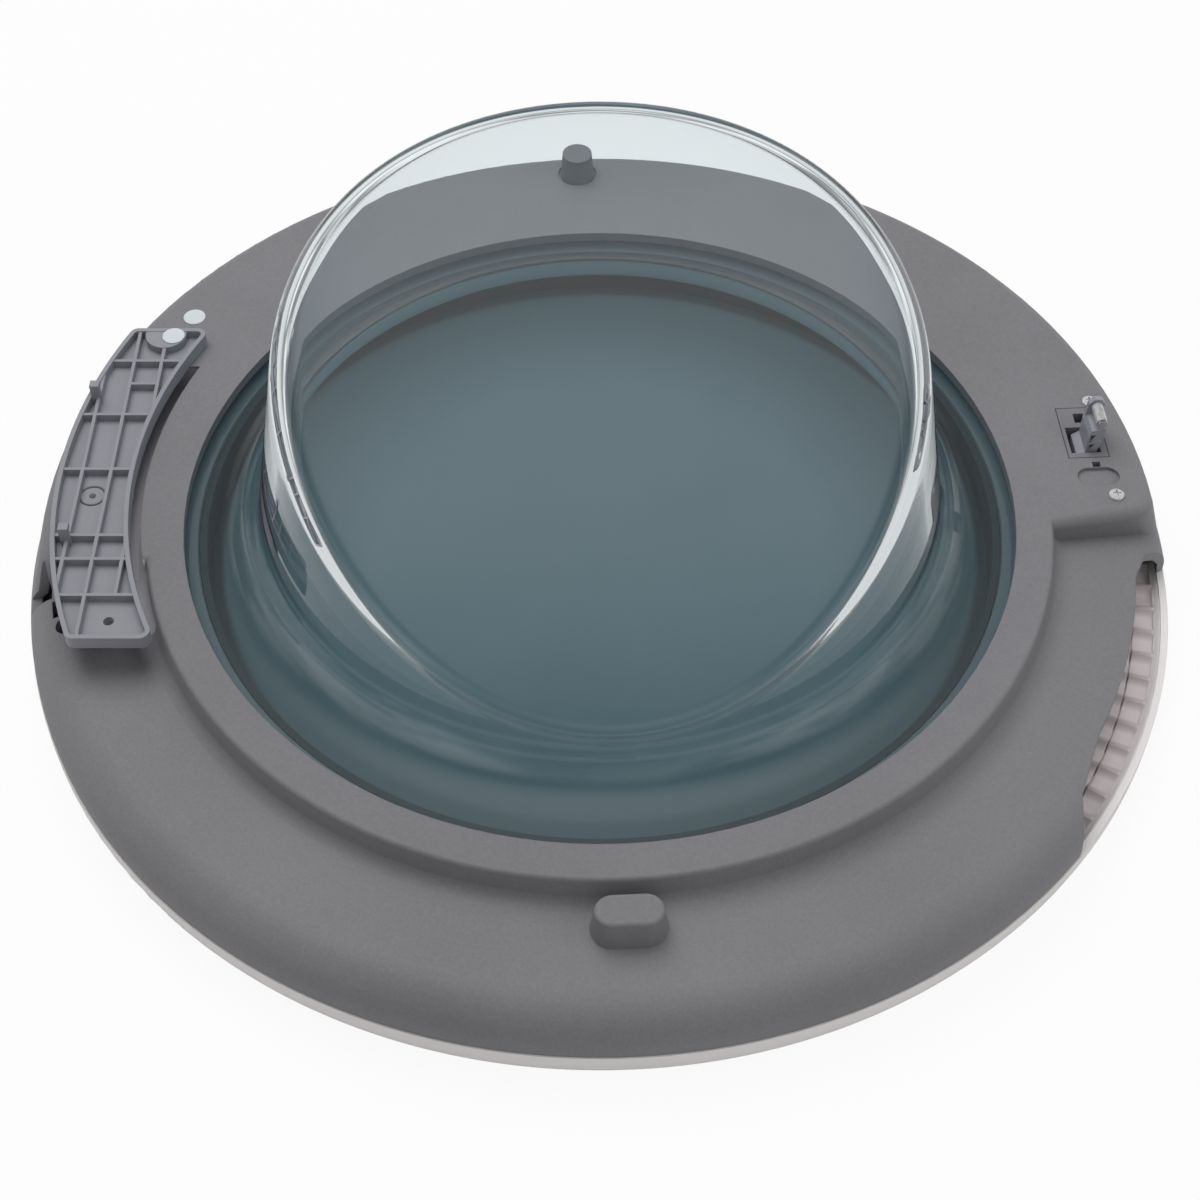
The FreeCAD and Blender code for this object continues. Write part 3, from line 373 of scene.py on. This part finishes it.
def soft_rubber(name, colour):
    """Dull rubber with a fine moulded grain."""
    material, tree, shader, place = new_material(name)
    grains = use_group(tree, moulded_grain, Coordinates=place, Colour=(*colour, 1), Shade=0.2,
                       Grain_Scale=900.0, Roughness=0.75, Gloss_Drift=0.2)
    tree.links.new(grains["Colour"], shader.inputs["Base Color"])
    tree.links.new(grains["Roughness"], shader.inputs["Roughness"])
    bump = new_node(tree, "ShaderNodeBump", Height=grains["Height"], Strength=0.4, Distance=0.00005)
    tree.links.new(bump.outputs[0], shader.inputs["Normal"])
    return material


def plated_steel(name, metallic, rougher=0.0):
    """Bright zinc plating with fine draw lines and a few dull spots."""
    material, tree, shader, place = new_material(name)
    drawn = new_node(tree, "ShaderNodeMapping", Vector=place, Scale=DRAW_STRETCH)
    lines = new_node(tree, "ShaderNodeTexNoise", Vector=drawn.outputs[0], Scale=1.0, Detail=2.0)
    spots = new_node(tree, "ShaderNodeTexNoise", Vector=place, Scale=420.0, Detail=3.0)
    dull = remap(tree, spots.outputs[0], *SPOT_NOISE)
    tree.links.new(blend_colours(tree, dull, ZINC_BRIGHT, ZINC_DULL), shader.inputs["Base Color"])
    between_lines, on_lines = (rough + rougher for rough in DRAW_ROUGH)
    lined = remap(tree, lines.outputs[0], *DRAW_NOISE, between_lines, on_lines)
    rough = calculate(tree, "ADD", lined, product(tree, dull, SPOT_ROUGH), clamp=True)
    tree.links.new(rough, shader.inputs["Roughness"])
    shader.inputs["Metallic"].default_value = metallic
    return material


def paper(name):
    """Matt bluish white paper with fine fibres."""
    material, tree, shader, place = new_material(name)
    fibre = new_node(tree, "ShaderNodeTexNoise", Vector=place, Scale=2500.0, Detail=4.0).outputs[0]
    tree.links.new(blend_colours(tree, fibre, PAPER_DARK, PAPER_LIGHT), shader.inputs["Base Color"])
    tree.links.new(remap(tree, fibre, *FIBRE_NOISE, *FIBRE_ROUGH), shader.inputs["Roughness"])
    return material


grey_frame = moulded_plastic("grey_frame", (0.200, 0.196, 0.208), rough=0.52, shade=0.40, grain=850.0,
                             toning=paint_recess_light)
grey_latch = moulded_plastic("grey_latch", (0.200, 0.198, 0.212), rough=0.48, edge=0.0003)
cast_hook = moulded_plastic("cast_hook", (0.300, 0.302, 0.345), rough=0.33, edge=0.0004, shade=0.25)
# painted shade: dark colour for the low moulded mark on the cover
painted_shade_mark = moulded_plastic("painted_shade_mark", (0.110, 0.110, 0.118), rough=0.55, edge=0.0002)
grey_cover = moulded_plastic("grey_cover", (0.280, 0.284, 0.312), rough=0.46, edge=0.0004)
white_ring = moulded_plastic("white_ring", (0.91, 0.875, 0.87), rough=0.32, shade=0.05, depth=0.00001,
                             marks=0.05, drift=0.1, toning=tone_ring)
steel = plated_steel("plated_steel", metallic=1.0)
screw_zinc = plated_steel("screw_zinc", metallic=0.35, rougher=0.2)
sleeve_steel = plated_steel("sleeve_steel", metallic=0.65, rougher=0.1)
dot_paper = paper("dot_paper")
pressed_glass = bowl_glass()
FINISHES = {
    "front_ring": white_ring, "front_window": smoked_pane(),
    "glass_gasket": soft_rubber("gasket_rubber", (0.100, 0.135, 0.150)),
    "glass_bowl": pressed_glass, "inner_frame": grey_frame,
    "round_buffer": soft_rubber("buffer_rubber", (0.185, 0.185, 0.200)),
    "latch_housing": grey_latch, "latch_hook": cast_hook, "latch_pivot_pin": steel,
    "latch_roller": sleeve_steel, "latch_roller_pin": steel, "latch_spring": steel,
    "latch_screws": screw_zinc, "frame_screw": screw_zinc, "hinge_plate": steel,
    "hinge_plate_screws": steel, "hinge_cover": grey_cover}


def set_finish(obj, material):
    """Gives a piece one finish in place of any that it has."""
    obj.data.materials.clear()
    obj.data.materials.append(material)


for node_name, finish in FINISHES.items():
    set_finish(nodes[node_name], finish)


# Surfaces as grids of points

def add_object(name, data):
    """Puts a mesh, light or camera into the scene, at the origin."""
    obj = bpy.data.objects.new(name, data)
    bpy.context.scene.collection.objects.link(obj)
    return obj


def add_piece(name, vertices, faces, body, material):
    """Makes a smooth shaded piece that rides a body and takes its finish from a slot."""
    mesh = bpy.data.meshes.new(name)
    mesh.from_pydata(vertices.tolist(), [], faces)
    mesh.polygons.foreach_set("use_smooth", np.ones(len(mesh.polygons), bool))
    mesh.update()
    obj = add_object(name, mesh)
    set_finish(obj, material)
    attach(obj, body)
    return obj


def full_circle(columns):
    """Evenly spaced angles round a circle, without the last one, which is the first again."""
    return np.linspace(0, 2 * np.pi, columns, endpoint=False)


def ring_faces(rows, columns, closed_rows=False):
    """Quads of a grid that closes along its columns, and along its rows where asked."""
    row = np.arange(rows if closed_rows else rows - 1)[:, None]
    column = np.arange(columns)[None, :]
    after = (column + 1) % columns
    below = (row + 1) % rows
    quads = np.stack(np.broadcast_arrays(row * columns + column, row * columns + after,
                                         below * columns + after, below * columns + column), -1)
    return quads.reshape(-1, 4).tolist()


def turn_profile(radius, height, centre, columns):
    """Grid of points: each radius and height pair of a profile goes round a vertical axis."""
    angle = full_circle(columns)
    x = centre[0] + radius[:, None] * np.cos(angle)
    y = centre[1] + radius[:, None] * np.sin(angle)
    z = np.broadcast_to(centre[2] + height[:, None], x.shape)
    return x, y, z


def pole_to_pole(x, y, z, first_pole, last_pole):
    """Grid that closes round its columns, with its first and last rows fanned to a point."""
    rows, columns = x.shape
    grid = np.stack([x, y, z], -1).reshape(-1, 3)
    vertices = np.concatenate([grid, [first_pole], [last_pole]])
    faces = ring_faces(rows, columns)
    first = np.arange(columns)
    after = (first + 1) % columns
    last = (rows - 1) * columns
    total = rows * columns
    faces += np.stack([np.full(columns, total), after, first], -1).tolist()
    faces += np.stack([np.full(columns, total + 1), last + first, last + after], -1).tolist()
    return vertices, faces


def turned_piece(profile, centre, columns=48):
    """Profile of (radius, height) pairs turned round a vertical axis, its two ends closed to points."""
    radius, height = np.asarray(profile, float).T
    x, y, z = turn_profile(radius, height, centre, columns)
    first_pole = [centre[0], centre[1], centre[2] + height[0]]
    last_pole = [centre[0], centre[1], centre[2] + height[-1]]
    return pole_to_pole(x, y, z, first_pole, last_pole)


def wire_piece(path, radius, sides=10):
    """Round wire along a path: each point's circle lies square to the path's local direction."""
    off_path = np.array([0.31, 0.52, 0.8])
    along = np.gradient(path, axis=0)
    along /= np.linalg.norm(along, axis=1, keepdims=True)
    side = np.cross(along, off_path)
    side /= np.linalg.norm(side, axis=1, keepdims=True)
    other = np.cross(along, side)
    angle = full_circle(sides)
    circle = side[:, None] * np.cos(angle)[:, None] + other[:, None] * np.sin(angle)[:, None]
    vertices = (path[:, None] + radius * circle).reshape(-1, 3)
    faces = ring_faces(len(path), sides)
    faces.append(list(range(sides))[::-1])
    faces.append(list(range((len(path) - 1) * sides, len(path) * sides)))
    return vertices, faces


# Latch spring

WIRE_RADIUS, COIL_RADIUS = 0.00042, 0.00285
COIL_TURNS = 3.5
FINGER_INSET, TAIL_INSET = 0.0003, 0.0005
FINGER_POINTS, LEG_POINTS, HELIX_POINTS, TAIL_POINTS = 10, 24, 140, 8


def make_spring():
    """Torsion spring on one wire path: finger, leg, helix round the pivot and tail.

    The helix goes round the pin's axis while it advances evenly along it, and the rest is straight.
    """
    low, high = (np.array(corner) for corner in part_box("latch_spring"))
    pin_low, pin_high = (np.array(corner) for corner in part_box("latch_pivot_pin"))
    pin_x, _, pin_z = (pin_low + pin_high) / 2
    start_y, end_y = low[1] + WIRE_RADIUS, high[1] - WIRE_RADIUS
    turn = np.linspace(0, COIL_TURNS * 2 * np.pi, HELIX_POINTS)
    helix = np.stack([pin_x + COIL_RADIUS * np.cos(turn),
                      start_y + (end_y - start_y) * turn / turn[-1],
                      pin_z - COIL_RADIUS * np.sin(turn)], -1)
    leg_x, tail_x = pin_x + COIL_RADIUS, pin_x - COIL_RADIUS
    leg_top = np.array([leg_x, start_y, high[2] - WIRE_RADIUS])
    finger_tip = np.array([high[0] - FINGER_INSET, start_y, high[2] - WIRE_RADIUS])
    tail_end = np.array([tail_x, end_y, low[2] + TAIL_INSET])
    finger = np.linspace(finger_tip, leg_top, FINGER_POINTS)[:-1]
    leg = np.linspace(leg_top, [leg_x, start_y, pin_z], LEG_POINTS)[:-1]
    tail = np.linspace([tail_x, end_y, pin_z], tail_end, TAIL_POINTS)[1:]
    vertices, faces = wire_piece(np.concatenate([finger, leg, helix, tail]), WIRE_RADIUS)
    spring = add_piece("coiled_spring", vertices, faces, "hook", steel)
    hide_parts("latch_spring")


# Glass bowl, with the sizes of its CAD node; the face lies 0.03 mm lower, inside the CAD box

BOWL_FOOT, BOWL_EDGE = 0.1425, 0.184
FLANGE_LOW, FLANGE_TOP = 0.0394, 0.0454
GLASS_THICK = FLANGE_TOP - FLANGE_LOW
BOWL_DRAFT = math.radians(10)
FOOT_ROUND, RIM_ROUND = 0.022, 0.014
FACE_RADIUS, FACE_TOP, FACE_INSET = 0.4296, 0.16547, 0.010
FACE_MIDDLE, FACE_LEVEL = BOWL_FOOT - FACE_INSET, FACE_TOP - FACE_RADIUS
EDGE_LAND, EDGE_NICK = 0.002, 0.0004
BOWL_COLUMNS, FACE_ROWS, RIM_ROWS, WALL_ROWS, FOOT_ROWS = 288, 32, 20, 12, 24
HALVINGS = 48


def face_height(across, curve):
    """Height of the arched face at a distance from its middle line: a circle of the curve's radius."""
    return FACE_LEVEL + np.sqrt(curve ** 2 - across ** 2)


def bowl_surface(depth, side):
    """Radius and height rows of the bowl at a depth inside its outer skin, from axis to flange.

    In each half plane round the axis: the arched face (a cylinder across the door), a rim arc that
    touches the face and the draft wall, the wall, and the foot's arc down to the flange. Halving
    finds the radius at which the rim arc touches both. Side is the sine of the half plane's angle.
    """
    slope, tilt = math.tan(BOWL_DRAFT), math.cos(BOWL_DRAFT)
    curve, rim, foot = FACE_RADIUS - depth, RIM_ROUND - depth, FOOT_ROUND + depth

    def wall_radius(height):
        return BOWL_FOOT - depth / tilt - (height - FLANGE_TOP) * slope

    def rim_centre(radius):
        across = radius * side - FACE_MIDDLE
        height = face_height(across, curve)
        lean = -across * side / (height - FACE_LEVEL)
        length = np.sqrt(1 + lean ** 2)
        return radius + rim * lean / length, height - rim / length, np.arctan2(1.0, -lean)

    low, high = np.zeros_like(side), np.full_like(side, BOWL_FOOT)
    for halving in range(HALVINGS):
        middle = (low + high) / 2
        centre_r, centre_z, turn = rim_centre(middle)
        outside = centre_r > wall_radius(centre_z) - rim / tilt
        low, high = np.where(outside, low, middle), np.where(outside, middle, high)
    centre_r, centre_z, turn = rim_centre(low)

    face_r = np.linspace(0, 1, FACE_ROWS + 1)[1:, None] * low
    face_z = face_height(face_r * side - FACE_MIDDLE, curve)
    bend = turn + (BOWL_DRAFT - turn) * np.linspace(0, 1, RIM_ROWS + 1)[1:, None]
    rim_r, rim_z = centre_r + rim * np.cos(bend), centre_z + rim * np.sin(bend)
    foot_z = FLANGE_TOP + FOOT_ROUND
    foot_r = BOWL_FOOT - FOOT_ROUND * slope + FOOT_ROUND / tilt
    sweep = np.linspace(math.pi + BOWL_DRAFT, 1.5 * math.pi, FOOT_ROWS)[:, None] + 0 * side
    arc_r, arc_z = foot_r + foot * np.cos(sweep), foot_z + foot * np.sin(sweep)
    wall_share = np.linspace(0, 1, WALL_ROWS + 2)[1:-1, None]
    wall_z = rim_z[-1] + (arc_z[0] - rim_z[-1]) * wall_share
    rows_r = np.concatenate([face_r, rim_r, wall_radius(wall_z), arc_r])
    rows_z = np.concatenate([face_z, rim_z, wall_z, arc_z])
    return rows_r, rows_z


def make_bowl():
    """Pressed glass as one closed skin.

    The inner surface runs out to the flange, then round its nicked edge, and the outer one back.
    """
    angle = full_circle(BOWL_COLUMNS)
    side = np.sin(angle)
    inner_r, inner_z = bowl_surface(GLASS_THICK, side)
    outer_r, outer_z = bowl_surface(0.0, side)
    edge = np.array([
        (BOWL_EDGE - EDGE_LAND, FLANGE_LOW), (BOWL_EDGE - EDGE_NICK, FLANGE_LOW),
        (BOWL_EDGE, FLANGE_LOW + EDGE_NICK), (BOWL_EDGE, FLANGE_TOP - EDGE_NICK),
        (BOWL_EDGE - EDGE_NICK, FLANGE_TOP), (BOWL_EDGE - EDGE_LAND, FLANGE_TOP)])
    edge_r, edge_z = edge.T[:, :, None] + 0 * side
    radius = np.concatenate([inner_r, edge_r, outer_r[::-1]])
    height = np.concatenate([inner_z, edge_z, outer_z[::-1]])
    under = face_height(FACE_MIDDLE, FACE_RADIUS - GLASS_THICK)
    top = face_height(FACE_MIDDLE, FACE_RADIUS)
    vertices, faces = pole_to_pole(radius * np.cos(angle), radius * np.sin(angle), height,
                                   [0, 0, under], [0, 0, top])
    bowl = add_piece("pressed_bowl", vertices, faces, "door", pressed_glass)
    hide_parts("glass_bowl")


# Paper dots and the mark in the hinge cover

DOT_RADIUS, DOT_THICK = 0.0049, 0.00014
DOT_FAN, DOT_SIDE = DOT_RADIUS * 0.5, DOT_THICK * 0.6
DOT_PLACES = {"cover_dot": (-0.1840, 0.1018, 0.05612), "frame_dot": (-0.1771, 0.1206, 0.05005)}
MARK_PLACE = (-0.2105, 0.0096, 0.0521)
MARK_RADIUS, MARK_HALF_WIDE, MARK_HALF_TALL = 0.0052, 0.0005, 0.0004
MARK_SECTION_POINTS, MARK_COLUMNS, PIP_COLUMNS = 10, 64, 24
PIP_RADIUS, PIP_SHOULDER, PIP_FOOT_FAN, PIP_TOP_FAN = 0.0013, 0.0009, 0.0006, 0.0004
PIP_SIDE, PIP_TOP = 0.0002, 0.0004


def make_paper_dots():
    """Two bare round paper dots: the half section of a thin disc with a rounded edge, turned."""
    profile = [(DOT_FAN, 0), (DOT_RADIUS, 0), (DOT_RADIUS, DOT_SIDE),
               (DOT_RADIUS - DOT_THICK, DOT_THICK), (DOT_FAN, DOT_THICK)]
    for name, place in DOT_PLACES.items():
        vertices, faces = turned_piece(profile, place)
        add_piece(name, vertices, faces, "door", dot_paper)


def make_mould_mark():
    """Low moulded ring with a centre pip on the cover's floor, as a mould's date wheel leaves it.

    The ring is an oval section carried round a circle, and the pip is a turned profile.
    """
    section = full_circle(MARK_SECTION_POINTS)
    radius = MARK_RADIUS + MARK_HALF_WIDE * np.cos(section)
    height = MARK_HALF_TALL * np.sin(section)
    grid = turn_profile(radius, height, MARK_PLACE, MARK_COLUMNS)
    vertices = np.stack(grid, -1).reshape(-1, 3)
    faces = ring_faces(MARK_SECTION_POINTS, MARK_COLUMNS, closed_rows=True)
    # the ring and pip are dark as painted shade of the low relief
    add_piece("mould_ring", vertices, faces, "door", painted_shade_mark)
    pip = [(PIP_FOOT_FAN, -PIP_SIDE), (PIP_RADIUS, -PIP_SIDE), (PIP_RADIUS, PIP_SIDE),
           (PIP_SHOULDER, PIP_TOP), (PIP_TOP_FAN, PIP_TOP)]
    vertices, faces = turned_piece(pip, MARK_PLACE, PIP_COLUMNS)
    add_piece("mould_pip", vertices, faces, "door", painted_shade_mark)


make_spring()
make_bowl()
make_paper_dots()
make_mould_mark()


# Stage

FLOOR_REACH, FLOOR_LEVEL = 6.0, -0.0002
FLOOR_TONE, FLOOR_WHITENESS = (0.80, 0.80, 0.80, 1), 0.92
WHITE = (1, 1, 1, 1)
ROOM_LIGHT = 0.38
DOOR_CENTRE = (0, 0, 0)

# What gloss sees of the room: where along a direction's part each change lies, and its light
WINDOW_NOISE, WINDOW_LIGHT = (0.40, 0.56), (0.3, 1.0)
WALL_RISE, WALL_LIGHT = (0.50, 0.66), (1.0, 0.2)
FRONT_SPAN, FRONT_LIGHT = (-0.95, -0.72), (0.2, 1.0)
CEILING_RISE, CEILING_LIGHT = (0.72, 0.96), (0.0, 0.85)

# Camera fitted to the door's outline; lens and sensor are in millimetres
CAMERA_LENS, CAMERA_SENSOR = 61.26, 36.0
CAMERA_TURN, CAMERA_RISE = math.radians(3.0), math.radians(49.775)
CAMERA_DISTANCE = 0.83384
CAMERA_AIM = np.array([0.0, -0.04364, 0.03511])


def make_floor():
    """Plain pale floor that keeps the door's soft shadow and reads white to the eye and in the glass."""
    mesh = bpy.data.meshes.new("floor")
    corners = [(-1, -1), (1, -1), (1, 1), (-1, 1)]
    mesh.from_pydata([(x * FLOOR_REACH, y * FLOOR_REACH, FLOOR_LEVEL) for x, y in corners], [],
                     [(0, 1, 2, 3)])
    obj = add_object("floor", mesh)
    material = bpy.data.materials.new("pale_floor")
    material.use_nodes = True
    tree = material.node_tree
    tree.nodes.clear()
    shade = new_node(tree, "ShaderNodeBsdfDiffuse", Color=FLOOR_TONE)
    white = new_node(tree, "ShaderNodeEmission", Color=WHITE, Strength=1.0)
    path = tree.nodes.new("ShaderNodeLightPath").outputs
    share = product(tree, seen_by_eye(tree, path), FLOOR_WHITENESS)
    mixed = mix_shaders(tree, share, shade.outputs[0], white.outputs[0])
    output = tree.nodes.new("ShaderNodeOutputMaterial")
    tree.links.new(mixed, output.inputs[0])
    set_finish(obj, material)


def make_world():
    """White room to the eye, softer as light; gloss sees windowed walls, a dark front and a ceiling."""
    world = bpy.data.worlds.new("studio")
    bpy.context.scene.world = world
    world.use_nodes = True
    tree = world.node_tree
    path = tree.nodes.new("ShaderNodeLightPath").outputs
    way = tree.nodes.new("ShaderNodeTexCoord").outputs["Generated"]
    parts = new_node(tree, "ShaderNodeSeparateXYZ", Vector=way).outputs
    panes = new_node(tree, "ShaderNodeTexNoise", Vector=way, Scale=2.6, Detail=2.0)
    windows = remap(tree, panes.outputs[0], *WINDOW_NOISE, *WINDOW_LIGHT)
    walls = remap(tree, parts["Z"], *WALL_RISE, *WALL_LIGHT)
    front = remap(tree, parts["Y"], *FRONT_SPAN, *FRONT_LIGHT)
    ceiling = remap(tree, parts["Z"], *CEILING_RISE, *CEILING_LIGHT)
    mirrored = calculate(tree, "MAXIMUM", product(tree, walls, windows, front), ceiling)
    gloss = path["Is Glossy Ray"]
    light = product(tree, calculate(tree, "SUBTRACT", 1.0, gloss), ROOM_LIGHT)
    light = calculate(tree, "ADD", light, product(tree, gloss, mirrored))
    strength = calculate(tree, "MAXIMUM", light, seen_by_eye(tree, path))
    back = tree.nodes["Background"]
    back.inputs["Color"].default_value = WHITE
    tree.links.new(strength, back.inputs["Strength"])


def point_at(obj, place, aim):
    """Puts a light or the camera at a place and turns it towards its aim."""
    obj.location = place
    obj.rotation_mode = "QUATERNION"
    way = Vector(aim) - Vector(place)
    obj.rotation_quaternion = way.to_track_quat("-Z", "Y")


def add_softbox(name, place, wide, power):
    """Square area light on the door that neither gloss nor glass shows."""
    light = bpy.data.lights.new(name, "AREA")
    light.shape = "SQUARE"
    light.size = wide
    light.energy = power
    obj = add_object(name, light)
    point_at(obj, place, DOOR_CENTRE)
    obj.visible_glossy = False
    obj.visible_transmission = False


def make_camera():
    """Photograph's viewpoint: about 50 degrees above the door, turned 3 degrees, with no shift."""
    data = bpy.data.cameras.new("camera")
    data.sensor_width = CAMERA_SENSOR
    data.lens = CAMERA_LENS
    obj = add_object("camera", data)
    back = np.array([0.0, -math.cos(CAMERA_RISE), math.sin(CAMERA_RISE)])
    place = CAMERA_AIM + CAMERA_DISTANCE * back
    cosine, sine = math.cos(CAMERA_TURN), math.sin(CAMERA_TURN)
    spin = np.array([[cosine, sine, 0], [-sine, cosine, 0], [0, 0, 1]])
    point_at(obj, spin @ place, spin @ CAMERA_AIM)
    bpy.context.scene.camera = obj


make_floor()
make_world()
add_softbox("top_light", (-0.25, 0.45, 1.30), wide=1.1, power=13.0)
add_softbox("side_light", (1.1, -0.5, 0.9), wide=0.8, power=3.0)
make_camera()
bpy.context.scene.view_settings.view_transform = "Standard"
